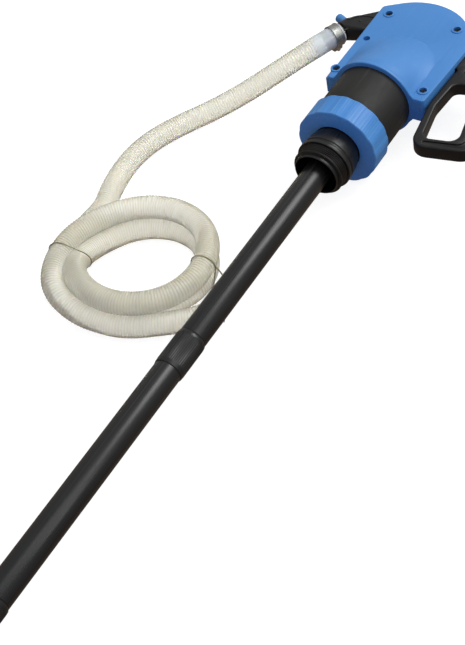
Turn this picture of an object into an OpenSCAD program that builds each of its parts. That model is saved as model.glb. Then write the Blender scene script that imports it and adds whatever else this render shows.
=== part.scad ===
// Lever-action hand pump for drums, lying on its side beside its coiled hose.
// Every sub-part is drawn about the suction tube's axis, which runs along Y:
// y = 0 is the front face of the ring nut, +Y leads to the pump head and -Y to
// the foot of the suction tube. The lever is on the +X side, the spout on the
// -X side, and +Z is square to the flat faces of the two covers.
// in_place() then moves everything onto the surface that the pump rests on.

/* [Suction tube] */
// Outer diameter of the suction tube
tube_d = 30; // [26:1:34]
// Bore of the suction tube
tube_bore_d = 23; // [18:1:25]
// Outer diameter of the tube couplings
coupling_d = 32.4; // [32:0.2:40]
// Length of one tube coupling
coupling_l = 45; // [40:1:60]
// Distance from one coupling to the next
section_pitch = 328; // [250:1:400]
// Length of the lowest tube between its coupling and the foot valve
lower_tube_l = 250; // [150:5:400]

/* [Barrel] */
// Outer diameter of the pump barrel
barrel_d = 90; // [88:1:92]
// Bore of the pump barrel, in which the piston runs
barrel_bore_d = 82; // [78:1:84]
// Height at which the barrel ends, inside the covers
barrel_top = 92; // [90:1:96]

/* [Ring nut and bung adapter] */
// Largest diameter of the ring nut, over its lobes
nut_d = 97; // [95:0.5:100]
// Length of the ring nut
nut_l = 31; // [28:1:36]
// Number of lobes around the ring nut
nut_lobes = 16; // [12:1:20]
// Diameter of the bung adapter's neck where it leaves the ring nut
neck_d = 55; // [54:0.5:58]
// Diameter of the flange that stops the bung thread
flange_d = 65; // [64:0.5:68]
// Outer diameter of the 2 inch bung thread
bung_thread_d = 59.6; // [59:0.1:60]
// Length of the bung thread
bung_thread_l = 13; // [12:0.5:20]
// Length of the plain lip below the thread
bung_lip_l = 4.5; // [2:0.5:6]
// Bore of the bung adapter
adapter_bore_d = 49; // [46:1:52]

/* [Covers] */
// Thickness of the pump head over both flat faces
head_t = 31; // [30:1:34]
// Wall thickness of the covers
wall = 3; // [2.5:0.5:3.5]
// Radius of the round top of the head
crown_r = 70.5; // [70:0.5:72]
// Distance of the left edge of the head from the tube axis
left_edge = 58.5; // [58:0.5:60]

/* [Lever and drive] */
// Full swing of the lever, in degrees
lever_swing = 60; // [50:1:60]
// Teeth of the whole circle that the sector gear is cut from
gear_teeth = 34; // [34:1:34]
// Module of the sector gear and the rack
gear_module = 2.5; // [2.5:0.5:2.5]
// Thickness of the lever
lever_t = 17; // [14:0.5:18]
// Thickness of the sector gear and the rack
gear_t = 10; // [8:0.5:11]
// Diameter of the pivot pin
pin_d = 10; // [8:0.5:10]

/* [Hose] */
// Outer diameter of the delivery hose
hose_d = 26; // [24:0.5:26]
// Radius of the main turns of the coil, at the middle of the hose
coil_r = 70; // [68:1:76]

/* [Hidden] */
$fn = 96;
eps = 0.01;

blue = [0.24, 0.49, 0.79];
black = [0.08, 0.08, 0.08];
steel = [0.7, 0.71, 0.73];
nylon = [0.88, 0.87, 0.82];
rubber = [0.05, 0.05, 0.05];
pvc = [0.87, 0.86, 0.78];
tie_green = [0.5, 0.5, 0.32];

// The object's box about the tube axis, without the hose, and its rest height
rest_h = nut_d / 2;
foot_y = -965;
crown_y = 250.47;
spout_x = -111.73;
grip_x = 144.85;

// Tube ends
spigot_r = 13.35;
socket_r = 13.4;
spigot_l = 22;
boss_end = -14;
coupling_y = -302;

// Barrel and its base
base_y = 13.3;
base_top = 18.3;
thread_zone_r = 45.6;
rim_y = 87;
ramp_y = 97;

// Screws of the covers, [x, y], and the plain blind hole beside them
screw_spots = [[-44.2, 214.4], [44.2, 214.4], [55.3, 103.4], [-55.3, 103.4]];
blind_spot = [-48, 164.3];
ear_spot = screw_spots[3];
ear_r = 7;
ear_y = 90;

// Drive: the rack's pitch line is right of the rod, and the pivot beyond it
pitch_r = gear_teeth * gear_module / 2;
rack_pitch_x = 9;
pivot = [rack_pitch_x + pitch_r, 172];
tooth_pitch = PI * gear_module;
pressure_angle = 20;
backlash = 0.6;
addendum = gear_module;
dedendum = 1.25 * gear_module;
rack_low = 160;
rack_high = 228;
hub_r = 14;
arm_low = 158.5;
arm_high = 186;

// Piston at the top of its stroke, with the lever down
piston_low = 71;
piston_high = 83;
rod_r = 6;

// Outlet: a leg up beside the rod, an arm through the left wall, then the hose tail
leg_x = -28;
leg_r = 10;
leg_bore_r = 8;
arm_y = 195;
tail_at = [-96.8, 172.5, 0];
tail_turn = 154.5;
tail_dir = [cos(tail_turn + 90), sin(tail_turn + 90), 0];
plug_dir = [cos(tail_turn), sin(tail_turn), 0];

// Hose: it leaves the spout level, comes down to the surface and runs to the coil
hose_r = hose_d / 2;
floor_z = -rest_h;
hose_z = floor_z + hose_r;
coil_at = [-124, -218];
coil_inner = 55;
coil_outer = 103;
coil_upper_outer = 93;
route = [[-93.4, 179.7, 0], [-103, 159, -0.5], [-114, 137, -2.5], [-127, 115, -7],
    [-142, 94, -14], [-158, 73, -21.5], [-175, 51, -28], [-192, 29, -32.5],
    [-209, 6, -35], [-223, -19, -35.4], [-233, -46, -35.4], [-237, -75, -35.4],
    [-235, -104, -35.4], [-229, -132, -35.4], [-222, -156, -35.4],
    [-217, -172, -35.4]];
hose_sides = 12;

// ---- helpers ----

module in_place()
    translate([-(grip_x + spout_x) / 2, -(crown_y + foot_y) / 2, rest_h]) children();

// Turns a solid that stands on Z so that it stands on Y, starting at y
module on_y(y = 0) translate([0, y, 0]) rotate([-90, 0, 0]) children();

// A solid of revolution about the tube axis from [radius, y] points
module turned(profile) on_y() rotate_extrude() polygon(profile);

// A plain ring about the tube axis
module ring(outer, inner, y0, y1)
    turned([[inner, y0], [outer, y0], [outer, y1], [inner, y1]]);

// A rod from one point along a direction in the XY plane
module rod_along(from, dir, length, r)
    translate(from) rotate([0, 0, atan2(dir[1], dir[0])]) rotate([0, 90, 0])
        cylinder(r = r, h = length);

// A plate between two heights
module slab(z0, z1) translate([0, 0, z0]) linear_extrude(z1 - z0) children();

module post(spot, r, z0, z1) translate([spot[0], spot[1], z0]) cylinder(r = r, h = z1 - z0);

function unit(v) = v / norm(v);
function polar(r, a) = [r * cos(a), r * sin(a)];
function arc(centre, r, a0, a1, n) =
    [for (i = [0 : n]) centre + polar(r, a0 + (a1 - a0) * i / n)];

// An outline from [x, y, corner radius] points
function corner(a, b, c, r, n = 8) =
    let (u = unit(a - b), v = unit(c - b), half = acos(u * v) / 2,
        centre = b + unit(u + v) * r / sin(half),
        p = b + u * r / tan(half) - centre, q = b + v * r / tan(half) - centre,
        a0 = atan2(p[1], p[0]), turn = atan2(q[1], q[0]) - a0,
        sweep = turn > 180 ? turn - 360 : turn < -180 ? turn + 360 : turn)
    arc(centre, r, a0, a0 + sweep, n);
function flat2(p) = [p[0], p[1]];
function rounded(points) =
    let (n = len(points))
    [for (i = [0 : n - 1]) each corner(flat2(points[(i + n - 1) % n]), flat2(points[i]),
        flat2(points[(i + 1) % n]), points[i][2])];

// ---- covers ----

// Outline of the head, drawn in by inset all round
function head_outline(inset) =
    let (crown = [-1, 180], low_r = 4, top_r = 6,
        low_right = [60, rim_y + low_r], low_left = [low_r - left_edge, rim_y + low_r],
        top_x = top_r - left_edge,
        top_y = crown[1] + sqrt(pow(crown_r - top_r, 2) - pow(top_x - crown[0], 2)),
        top_a = atan2(top_y - crown[1], top_x - crown[0]),
        gap = crown - low_right,
        side_a = atan2(gap[1], gap[0]) - acos((low_r - crown_r) / norm(gap)))
    concat(arc(low_right, low_r - inset, -90, side_a, 5),
        arc(crown, crown_r - inset, side_a, top_a, 40),
        arc([top_x, top_y], top_r - inset, top_a, 180, 6),
        arc(low_left, low_r - inset, 180, 270, 5));

// The half-round shoulder over the barrel, which ramps down to the flat face
module shoulder(r, flat_r, face_z) {
    intersection() {
        on_y(rim_y) cylinder(r = r, h = ramp_y - rim_y);
        translate([-r, rim_y, 0]) cube([2 * r, ramp_y - rim_y, r]);
    }
    hull() {
        intersection() {
            on_y(ramp_y - 1) cylinder(r = r - 0.3, h = 1, $fn = 64);
            translate([-r, ramp_y - 2, 0]) cube([2 * r, 4, r]);
        }
        translate([0, 135, 0]) cylinder(r = flat_r, h = face_z, $fn = 64);
    }
}

// Space that the lever's arm sweeps through the right wall
module lever_slot() {
    spare = 1.5;
    edge = pivot + polar(arm_high - pivot[1] + spare, lever_swing + 90);
    inside = edge + polar(24, lever_swing);
    outside = edge + polar(62, lever_swing);
    slab(-lever_t / 2 - 0.7, lever_t / 2 + 0.7)
        polygon([[inside[0], arm_low - spare], [95, arm_low - spare], [95, outside[1]],
            outside, inside]);
}

module cover_shell() {
    face_z = head_t / 2;
    difference() {
        union() {
            difference() {
                union() {
                    slab(0, face_z) polygon(head_outline(0));
                    shoulder(rest_h, 48, face_z);
                    post(ear_spot, ear_r, 0, face_z);
                    translate([ear_spot[0] - ear_r, ear_y, 0])
                        cube([ear_r + 4, ear_spot[1] - ear_y, face_z - 4.5]);
                }
                slab(-1, face_z - wall) polygon(head_outline(wall));
                translate([0, 0, -1]) shoulder(rest_h - wall, 48 - wall, face_z - wall + 1);
            }
            for (spot = screw_spots) post(spot, 5, 0, face_z - eps);
            post(blind_spot, 5, 3, face_z - eps);
            post(pivot, 9.5, lever_t / 2 + 0.4, face_z - eps);
        }
        on_y(rim_y - 1) cylinder(d = barrel_d + 0.1, h = ramp_y - rim_y + 1);
        lever_slot();
        rod_along([-40, arm_y, 0], [-1, 0], 30, leg_r + 0.2);
        post(pivot, 7, lever_t / 2, face_z - wall);
    }
}

module front_cover() color(blue) {
    face_z = head_t / 2;
    difference() {
        union() {
            cover_shell();
            for (spot = screw_spots) post(spot, 6, face_z - eps, face_z + 0.8);
        }
        for (spot = screw_spots) {
            post(spot, 2.1, -1, face_z + 1);
            post(spot, 3.9, face_z - 4.5, face_z + 1);
        }
        post(blind_spot, 2.3, face_z - 7, face_z + 1);
    }
}

module rear_cover() color(blue)
    difference() {
        mirror([0, 0, 1]) cover_shell();
        for (spot = screw_spots) post(spot, 1.9, -11, 1);
    }

module cover_screws() color(steel)
    for (spot = screw_spots)
        difference() {
            union() {
                post(spot, 1.85, -10, head_t / 2 - 4.4);
                post(spot, 3.6, head_t / 2 - 4.5, head_t / 2 - 1.5);
            }
            post(spot, 1.5, head_t / 2 - 3, head_t / 2);
        }

// ---- barrel ----

module barrel() color(black)
    turned([[socket_r, boss_end], [20.5, boss_end], [20.5, base_y],
        [thread_zone_r, base_y], [thread_zone_r, 29], [barrel_d / 2, 29.6],
        [barrel_d / 2, barrel_top], [barrel_bore_d / 2, barrel_top],
        [barrel_bore_d / 2, base_top], [9, base_top], [9, 8.2], [socket_r, 8.2]]);

module barrel_cap() color(black)
    difference() {
        union() {
            turned([[6.1, 88], [40.9, 88], [40.9, 89], [39.3, 89], [39.3, 91],
                [40.9, 91], [40.9, barrel_top], [44.9, barrel_top], [44.9, 96], [14, 96],
                [14, 108], [9.5, 108], [9.5, 102], [6.1, 102]]);
            translate([leg_x, 0, 0]) on_y(95) cylinder(r = 13, h = 10);
        }
        translate([leg_x, 0, 0]) {
            on_y(87) cylinder(r = leg_bore_r, h = 20);
            on_y(98) cylinder(r = leg_r + 0.05, h = 10);
        }
    }

module cap_seal() color(rubber) ring(barrel_bore_d / 2 - 0.02, 39.4, 89.1, 90.9);

// ---- ring nut and bung adapter ----

module ring_nut() color(blue) {
    points = nut_lobes * 8;
    lobe = 0.9;
    difference() {
        on_y(0) linear_extrude(nut_l)
            polygon([for (i = [0 : points - 1])
                polar(nut_d / 2 - lobe + lobe * cos(nut_lobes * 360 * i / points),
                    360 * i / points)]);
        on_y(5) cylinder(r = thread_zone_r + 0.3, h = nut_l);
        on_y(-1) cylinder(d = neck_d + 1.4, h = 10);
    }
}

module bung_adapter() color(black) {
    bore = adapter_bore_d / 2;
    neck = neck_d / 2;
    flange = flange_d / 2;
    thread = bung_thread_d / 2;
    flange_end = -30.5;
    thread_end = flange_end - bung_thread_l;
    lip = bore + 1.8;
    turned([[bore, 10.3], [43.5, 10.3], [43.5, 5.3], [neck, 5.3], [neck, 0],
        [flange - 1.5, -11], [flange - 0.5, -22.5], [flange - 1.5, -23], [flange - 1.5, -24.5],
        [flange, -25.2], [flange, flange_end], [thread, flange_end],
        [thread, thread_end + 1], [thread - 1.5, thread_end], [lip, thread_end],
        [lip, thread_end - bung_lip_l + 0.6], [lip - 0.6, thread_end - bung_lip_l],
        [bore, thread_end - bung_lip_l]]);
}

module adapter_gasket() color(rubber) ring(43.5, 30, 10.6, base_y);

// ---- inlet valve, piston and rod ----

module inlet_valve_cage() color(nylon) {
    ring(18.5, 16.2, base_top, base_top + 1.5);
    for (a = [0 : 90 : 270]) rotate([0, a, 0]) translate([16.4, base_top, -1.5]) cube([2, 5, 3]);
    ring(18.5, 9, base_top + 4.7, base_top + 6);
}

module inlet_valve_disc() color(rubber)
    on_y(base_top + 0.05) cylinder(r = 15.5, h = 2);

module piston() color(nylon)
    difference() {
        turned([[4.05, 77], [9.5, 77], [9.5, piston_low], [40.3, piston_low], [40.3, 74.8],
            [36.4, 74.8], [36.4, 79.2], [40.3, 79.2], [40.3, piston_high],
            [4.05, piston_high]]);
        for (a = [30 : 60 : 330]) rotate([0, a, 0]) translate([22, 0, 0])
            on_y(piston_low - 1) cylinder(r = 3.5, h = 14);
    }

module piston_seal() color(rubber) ring(barrel_bore_d / 2 - 0.05, 36.5, 75, 79);

module piston_valve_ring() color(rubber) ring(29, 6.5, piston_high + 0.05, piston_high + 1.6);

module valve_stop() color(steel) ring(10.5, 6.02, 87.1, 87.9);

module piston_rod() color(steel) {
    on_y(piston_high) cylinder(r = rod_r, h = rack_low - piston_high);
    on_y(72) cylinder(r = 4, h = piston_high - 72 + eps);
    on_y(rack_low - eps) cylinder(r = 3.5, h = 14);
}

module rod_nut() color(steel)
    difference() {
        on_y(71.5) cylinder(r = 7.5, h = 5.4, $fn = 6);
        on_y(71) cylinder(r = 4.05, h = 8);
    }

module rod_seal() color(rubber) ring(9.4, rod_r + 0.05, 102.1, 105);

module gland_nut() color(black) {
    ring(9.4, rod_r + 0.1, 105.1, 108);
    ring(12.5, rod_r + 0.1, 108, 111.5);
}

// ---- rack, sector gear and lever ----

// Straight-sided teeth; a gap is level with the pivot when the lever is down
module rack() color(nylon) {
    first = ceil((rack_low + 4 - pivot[1]) / tooth_pitch);
    last = floor((rack_high - 3 - pivot[1]) / tooth_pitch);
    half = tooth_pitch / 4 - backlash / 4;
    root = half + dedendum * tan(pressure_angle);
    tip = half - addendum * tan(pressure_angle);
    root_x = rack_pitch_x - dedendum;
    tip_x = rack_pitch_x + addendum - 0.3;
    difference() {
        slab(-gear_t / 2, gear_t / 2)
            polygon(concat([[-6.5, rack_high], [-6.5, rack_low], [root_x, rack_low]],
                [for (k = [first : last - 1]) let (y = pivot[1] + (k + 0.5) * tooth_pitch)
                    each [[root_x, y - root], [tip_x, y - tip], [tip_x, y + tip],
                        [root_x, y + root]]],
                [[root_x, rack_high]]));
        on_y(rack_low - 1) cylinder(r = 3.5, h = 16);
    }
}

module rack_guide() color(nylon) {
    translate([-16.5, 164, -head_t / 2 + wall]) cube([9.7, 16, head_t / 2 - wall + 7]);
}

// Half the angle that an involute tooth fills at radius r
function involute(a) = tan(a) * 180 / PI - a;
function tooth_half(r) =
    90 / gear_teeth - backlash / 4 / pitch_r * 180 / PI + involute(pressure_angle)
        - involute(acos(min(1, pitch_r * cos(pressure_angle) / r)));

module sector_gear() color(nylon) {
    root_r = pitch_r - dedendum;
    tip_r = pitch_r + addendum - 0.3;
    base_r = pitch_r * cos(pressure_angle);
    radii = [base_r, base_r + 1.2, pitch_r, tip_r - 1, tip_r];
    step = 360 / gear_teeth;
    difference() {
        translate([pivot[0], pivot[1], 0]) slab(-gear_t / 2, gear_t / 2) union() {
            circle(r = hub_r - 1);
            polygon(concat([[4, -6], [4, 8]],
                arc([0, 0], root_r, 180 - 6.4 * step, 180 + 1.4 * step, 24)));
            for (k = [-1 : 6]) let (a = 180 - k * step)
                polygon(concat([polar(root_r - 1, a - tooth_half(base_r))],
                    [for (r = radii) polar(r, a - tooth_half(r))],
                    [for (i = [4 : -1 : 0]) polar(radii[i], a + tooth_half(radii[i]))],
                    [polar(root_r - 1, a + tooth_half(base_r))]));
        }
        post(pivot, pin_d / 2 + 0.05, -10, 10);
        for (a = [60, 300]) post(pivot + polar(9.5, a), 2.05, -10, 10);
        post(pivot + polar(27, 150), 7, -10, 10);
    }
}

module sector_screws() color(steel)
    for (a = [60, 300]) {
        post(pivot + polar(9.5, a), 2, -lever_t / 2 + 0.5, lever_t / 2 - 2);
        post(pivot + polar(9.5, a), 3.2, lever_t / 2 - 2.2, lever_t / 2 - 0.1);
    }

// Outlines of the lever, its hand loop and the thin web above the loop
lever_outer = [[pivot[0], arm_low, 10], [71.5, arm_low, 3], [69.6, 150, 60], [66.4, 96, 50],
    [76.2, 24.4, 17], [148.5, 39, 20], [118, 186.5, 34], [pivot[0] - 4, arm_high, 6]];
hand_loop = [[78.6, 134.6, 9], [75.2, 94, 40], [84.1, 41.8, 9], [122.8, 49.3, 12],
    [105.1, 140.6, 12]];
web_pocket = [[80, 150, 7], [109, 155.5, 7], [105, 177, 10], [81, 177, 7]];

module lever() color(black)
    difference() {
        union() {
            slab(-lever_t / 2, lever_t / 2) polygon(rounded(lever_outer));
            post(pivot, hub_r, -lever_t / 2, lever_t / 2);
        }
        slab(-lever_t, lever_t) polygon(rounded(hand_loop));
        slab(5, lever_t) polygon(rounded(web_pocket));
        slab(-lever_t, -5) polygon(rounded(web_pocket));
        post(pivot, pin_d / 2, -lever_t, lever_t);
        post(pivot, hub_r + 0.6, -gear_t / 2 - 0.1, gear_t / 2 + 0.1);
        slab(-gear_t / 2 - 0.1, gear_t / 2 + 0.1)
            polygon([pivot + [5, 30], pivot + [-60, 30], pivot + [-60, -30], pivot + [5, -30]]);
        for (a = [60, 300]) {
            post(pivot + polar(9.5, a), 2.05, -lever_t / 2 + 0.4, lever_t);
            post(pivot + polar(9.5, a), 3.3, lever_t / 2 - 2.2, lever_t);
        }
    }

module pivot_pin() color(steel) post(pivot, pin_d / 2, -head_t / 2 + wall + 0.2, head_t / 2 - wall - 0.2);

module pivot_bushes() color(nylon)
    for (side = [-1, 1])
        translate([pivot[0], pivot[1], side * (head_t / 4 + lever_t / 4 - wall / 2 + 0.2)])
            difference() {
                cylinder(r = 7, h = head_t / 2 - wall - lever_t / 2 - 0.4, center = true);
                cylinder(d = pin_d + 0.1, h = 10, center = true);
            }

// ---- outlet ----

module outlet_spout() color(black) {
    neck = tail_at - 24 * tail_dir;
    difference() {
        union() {
            translate([leg_x, 0, 0]) on_y(98.1) cylinder(r = leg_r, h = arm_y - 98.1);
            translate([leg_x, arm_y, 0]) sphere(r = leg_r);
            rod_along([leg_x, arm_y, 0], [-1, 0], 56, leg_r);
            hull() {
                translate([-62, 186, -9]) cube([2.6, 39, 18]);
                translate([-61, 190, -10]) cube([1, 31, 20]);
                rod_along(neck, tail_dir, 12, 12, $fn = 48);
            }
            rod_along(tail_at - 13 * tail_dir, tail_dir, 27, 9.8);
            for (s = [-4, 3, 10])
                translate(tail_at + s * tail_dir) rotate([0, 0, tail_turn + 90]) rotate([0, 90, 0])
                    cylinder(r1 = 10.2, r2 = 9.7, h = 4);
        }
        translate([leg_x, 0, 0]) on_y(97) cylinder(r = leg_bore_r, h = arm_y - 97);
        translate([leg_x, arm_y, 0]) sphere(r = leg_bore_r);
        rod_along([leg_x, arm_y, 0], [-1, 0], 58.3, leg_bore_r);
        rod_along(tail_at - 25 * tail_dir, tail_dir, 50, leg_bore_r);
        rod_along(neck, plug_dir, 20, 3.55);
    }
}

module spout_seal() color(rubber)
    translate([leg_x, 0, 0]) ring(12.6, leg_r + 0.05, 105, 107);

module vent_plug() color(blue) {
    neck = tail_at - 24 * tail_dir;
    difference() {
        union() {
            rod_along(neck + 5 * plug_dir, plug_dir, 8, 3.5);
            rod_along(neck + 12.3 * plug_dir, plug_dir, 12.2, 5.5);
            rod_along(neck + 24.4 * plug_dir, plug_dir, 1.4, 4.6);
        }
        rod_along(neck + 22 * plug_dir, plug_dir, 5, 2.6);
    }
}

// ---- suction tube ----

// A tube whose ends are turned down to fit its couplings
module tube_section(top, bottom, top_spigot, bottom_spigot)
    turned([[tube_bore_d / 2, bottom - bottom_spigot], [spigot_r, bottom - bottom_spigot],
        [spigot_r, bottom], [tube_d / 2, bottom], [tube_d / 2, top], [spigot_r, top],
        [spigot_r, top + top_spigot], [tube_bore_d / 2, top + top_spigot]]);

module coupling(y) {
    ribs = 40;
    r = coupling_d / 2;
    rib_h = 0.35;
    difference() {
        union() {
            turned([[socket_r, y - coupling_l], [r - rib_h, y - coupling_l],
                [r - rib_h, y - 1.2], [r - 1.4, y], [socket_r, y]]);
            on_y(y - coupling_l + 4) linear_extrude(coupling_l - 9)
                polygon([for (i = [0 : 2 * ribs - 1])
                    polar(r - rib_h * (i % 2), 180 * i / ribs)]);
        }
        on_y(y - coupling_l - 1) cylinder(r = socket_r, h = coupling_l + 2);
    }
}

middle_top = coupling_y - coupling_l;
middle_low = coupling_y - section_pitch;
lower_top = middle_low - coupling_l;
lower_low = lower_top - lower_tube_l;

module upper_tube() color(black) tube_section(boss_end, coupling_y, spigot_l, spigot_l);
module middle_tube() color(black) tube_section(middle_top, middle_low, spigot_l, spigot_l);
module lower_tube() color(black)
    difference() {
        tube_section(lower_top, lower_low, spigot_l, 15);
        translate([0, lower_low - 4.5, 0]) cylinder(r = 1.3, h = 60, center = true);
    }
module upper_coupling() color(black) coupling(coupling_y);
module lower_coupling() color(black) coupling(middle_low);

seat_y = lower_low - 25;
ball_r = 8.5;
seat_r = 6;

module foot_valve_body() color(black)
    difference() {
        turned([[seat_r, seat_y - 4], [17, seat_y - 4], [17, lower_low - 1.5],
            [15.5, lower_low], [socket_r, lower_low], [socket_r, lower_low - 15.5],
            [11.5, lower_low - 15.5], [11.5, seat_y + 2], [seat_r, seat_y]]);
        translate([0, lower_low - 4.5, 0]) cylinder(r = 1.3, h = 60, center = true);
    }

module foot_valve_ball() color(nylon)
    translate([0, seat_y + sqrt(ball_r * ball_r - seat_r * seat_r) + 0.05, 0])
        sphere(r = ball_r);

module ball_stop_pin() color(steel)
    translate([0, lower_low - 4.5, 0]) cylinder(r = 1.25, h = 33, center = true);

module foot_strainer() color(black) {
    top = seat_y - 4;
    depth = top - foot_y;
    difference() {
        turned([[0, foot_y], [14.5, foot_y], [16.5, foot_y + 2], [16.5, top], [13.5, top],
            [13.5, foot_y + 2.5], [0, foot_y + 2.5]]);
        for (a = [0 : 45 : 135]) rotate([0, a, 0])
            translate([-20, foot_y + 4, -1.25]) cube([40, depth - 6, 2.5]);
        for (x = [-8 : 4 : 8]) translate([x - 0.9, foot_y - 1, -8]) cube([1.8, 5, 16]);
    }
}

// ---- hose and what holds it ----

module hose_clamp() color(steel)
    difference() {
        union() {
            rod_along(tail_at - 6 * tail_dir, tail_dir, 12, 14.2);
            translate(tail_at) rotate([0, 0, tail_turn + 90])
                translate([-5.5, -7, -20.5]) cube([11, 14, 7.5]);
        }
        rod_along(tail_at - 7 * tail_dir, tail_dir, 14, hose_r + 0.2);
        rod_along(tail_at - [0, 0, 16.8] - 15 * plug_dir, plug_dir, 30, 3.05);
    }

module clamp_screw() color(steel)
    translate([0, 0, -16.8]) {
        rod_along(tail_at - 6.5 * plug_dir, plug_dir, 17, 3);
        rod_along(tail_at + 8.5 * plug_dir, plug_dir, 3.5, 3.9, $fn = 6);
    }

// A ring of points round the route at point i, square to the way it runs
function heading(i) =
    let (a = max(i - 1, 0), b = min(i + 1, len(route) - 1))
    i == 0 ? tail_dir : unit(route[b] - route[a]);
function hose_ring(i) =
    let (t = heading(i), side = unit(cross(t, [0, 0, 1])), up = cross(side, t))
    [for (k = [0 : hose_sides - 1]) let (a = 360 * k / hose_sides)
        route[i] + (hose_r - 0.05) * (cos(a) * side + sin(a) * up)];

module hose_run() color(pvc) {
    n = hose_sides;
    rings = len(route);
    polyhedron(points = [for (i = [0 : rings - 1]) each hose_ring(i)],
        faces = concat([[for (k = [0 : n - 1]) k]],
            [for (i = [0 : rings - 2], k = [0 : n - 1]) let (a = i * n + k,
                b = i * n + (k + 1) % n) [a, a + n, b + n, b]],
            [[for (k = [n - 1 : -1 : 0]) (rings - 1) * n + k]]));
}

// Outer shape of the coil: a wide lower layer and a narrower upper one
function coil_outline(out, low) =
    [[coil_inner - out, low], [coil_outer + out, low], [coil_outer + out, hose_d + out],
        [coil_upper_outer + out, hose_d + out], [coil_upper_outer + out, 2 * hose_d + out],
        [coil_inner - out, 2 * hose_d + out]];

module hose_coil() color(pvc)
    translate([coil_at[0], coil_at[1], floor_z]) rotate_extrude()
        polygon(coil_outline(0, 0));

// Two wire ties round the bundle
module hose_ties() color(tie_green)
    for (a = [195, 19]) translate([coil_at[0], coil_at[1], floor_z]) rotate([90, 0, a])
        linear_extrude(1.8, center = true) difference() {
            polygon(coil_outline(1.2, 0));
            polygon(coil_outline(-0.01, 1));
        }

in_place() front_cover();
in_place() rear_cover();
in_place() cover_screws();
in_place() barrel();
in_place() barrel_cap();
in_place() cap_seal();
in_place() ring_nut();
in_place() bung_adapter();
in_place() adapter_gasket();
in_place() inlet_valve_cage();
in_place() inlet_valve_disc();
in_place() piston();
in_place() piston_seal();
in_place() piston_valve_ring();
in_place() valve_stop();
in_place() piston_rod();
in_place() rod_nut();
in_place() rod_seal();
in_place() gland_nut();
in_place() rack();
in_place() rack_guide();
in_place() sector_gear();
in_place() sector_screws();
in_place() lever();
in_place() pivot_pin();
in_place() pivot_bushes();
in_place() outlet_spout();
in_place() spout_seal();
in_place() vent_plug();
in_place() upper_tube();
in_place() middle_tube();
in_place() lower_tube();
in_place() upper_coupling();
in_place() lower_coupling();
in_place() foot_valve_body();
in_place() foot_valve_ball();
in_place() ball_stop_pin();
in_place() foot_strainer();
in_place() hose_clamp();
in_place() clamp_screw();
in_place() hose_run();
in_place() hose_coil();
in_place() hose_ties();
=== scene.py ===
import bpy, bmesh, math
from mathutils import Matrix, Vector


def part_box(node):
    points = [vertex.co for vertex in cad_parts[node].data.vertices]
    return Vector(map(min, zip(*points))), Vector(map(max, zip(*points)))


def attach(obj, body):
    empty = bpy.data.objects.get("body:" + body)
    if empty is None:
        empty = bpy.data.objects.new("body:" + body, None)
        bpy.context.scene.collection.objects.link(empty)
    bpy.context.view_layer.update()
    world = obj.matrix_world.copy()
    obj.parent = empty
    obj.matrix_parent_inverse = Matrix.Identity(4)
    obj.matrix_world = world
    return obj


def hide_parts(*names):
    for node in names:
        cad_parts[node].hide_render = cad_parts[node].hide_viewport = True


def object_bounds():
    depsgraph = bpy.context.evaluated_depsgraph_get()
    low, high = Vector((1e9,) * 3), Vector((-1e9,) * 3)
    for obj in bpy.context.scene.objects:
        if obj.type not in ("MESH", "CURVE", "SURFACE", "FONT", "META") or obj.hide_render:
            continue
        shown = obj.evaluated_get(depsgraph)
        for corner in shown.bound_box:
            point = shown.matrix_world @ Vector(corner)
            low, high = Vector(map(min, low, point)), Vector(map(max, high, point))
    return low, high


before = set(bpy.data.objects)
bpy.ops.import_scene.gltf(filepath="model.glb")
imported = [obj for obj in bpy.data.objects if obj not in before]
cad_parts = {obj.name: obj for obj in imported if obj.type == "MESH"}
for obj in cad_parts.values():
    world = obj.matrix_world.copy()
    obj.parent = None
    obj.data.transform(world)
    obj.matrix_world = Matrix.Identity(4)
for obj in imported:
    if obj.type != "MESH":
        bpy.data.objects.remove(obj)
CAD_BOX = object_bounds()

# ---------------------------------------------------------------- frame
# Pieces are drawn in millimetres about the suction tube's axis, which runs along Y:
# y = 0 is the ring nut's front face, +Y leads to the head, +X is the lever's side.
nut_lo, nut_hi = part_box("ring_nut")
AXIS = Vector(((nut_lo[0] + nut_hi[0]) / 2, nut_lo[1], (nut_lo[2] + nut_hi[2]) / 2))
MM = Matrix.Translation(AXIS) @ Matrix.Scale(0.001, 4)
UP = Vector((0, 0, 1))
FLOOR = -48.0
scene = bpy.context.scene


def at(x, y, z):
    """A point given in millimetres about the tube's axis, in the frame's metres."""
    return MM @ Vector((x, y, z))


def polar(r, a):
    """The point at radius r and angle a, in degrees."""
    return (r * math.cos(math.radians(a)), r * math.sin(math.radians(a)))


def around(c, side, other, r, a):
    """The point at radius r and angle a, in radians, in the plane of side and other about c."""
    return tuple(c + side * (r * math.cos(a)) + other * (r * math.sin(a)))


def smooth(t):
    """0 below 0, 1 above 1, and a soft step between."""
    t = min(1.0, max(0.0, t))
    return t * t * (3 - 2 * t)


def spline(keys, steps):
    """Catmull-Rom through the keys, with the given number of steps between two of them."""
    keys = [Vector(k) for k in keys]
    out = []
    for i in range(len(keys) - 1):
        a, b = keys[i], keys[i + 1]
        before = keys[i - 1] if i else a * 2 - b
        after = keys[i + 2] if i + 2 < len(keys) else b * 2 - a
        for s in range(steps):
            t = s / steps
            out.append(0.5 * (2 * a + (b - before) * t
                              + (2 * before - 5 * a + 4 * b - after) * t * t
                              + (3 * a - before - 3 * b + after) * t ** 3))
    out.append(keys[-1])
    return out


def even(points, step):
    """The same polyline with points every step, its end included."""
    out, left = [points[0].copy()], step
    for a, b in zip(points, points[1:]):
        length = (b - a).length
        done = 0.0
        while length - done >= left:
            done += left
            out.append(a.lerp(b, done / length))
            left = step
        left -= length - done
    if (out[-1] - points[-1]).length > step * 0.3:
        out.append(points[-1].copy())
    return out


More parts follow.
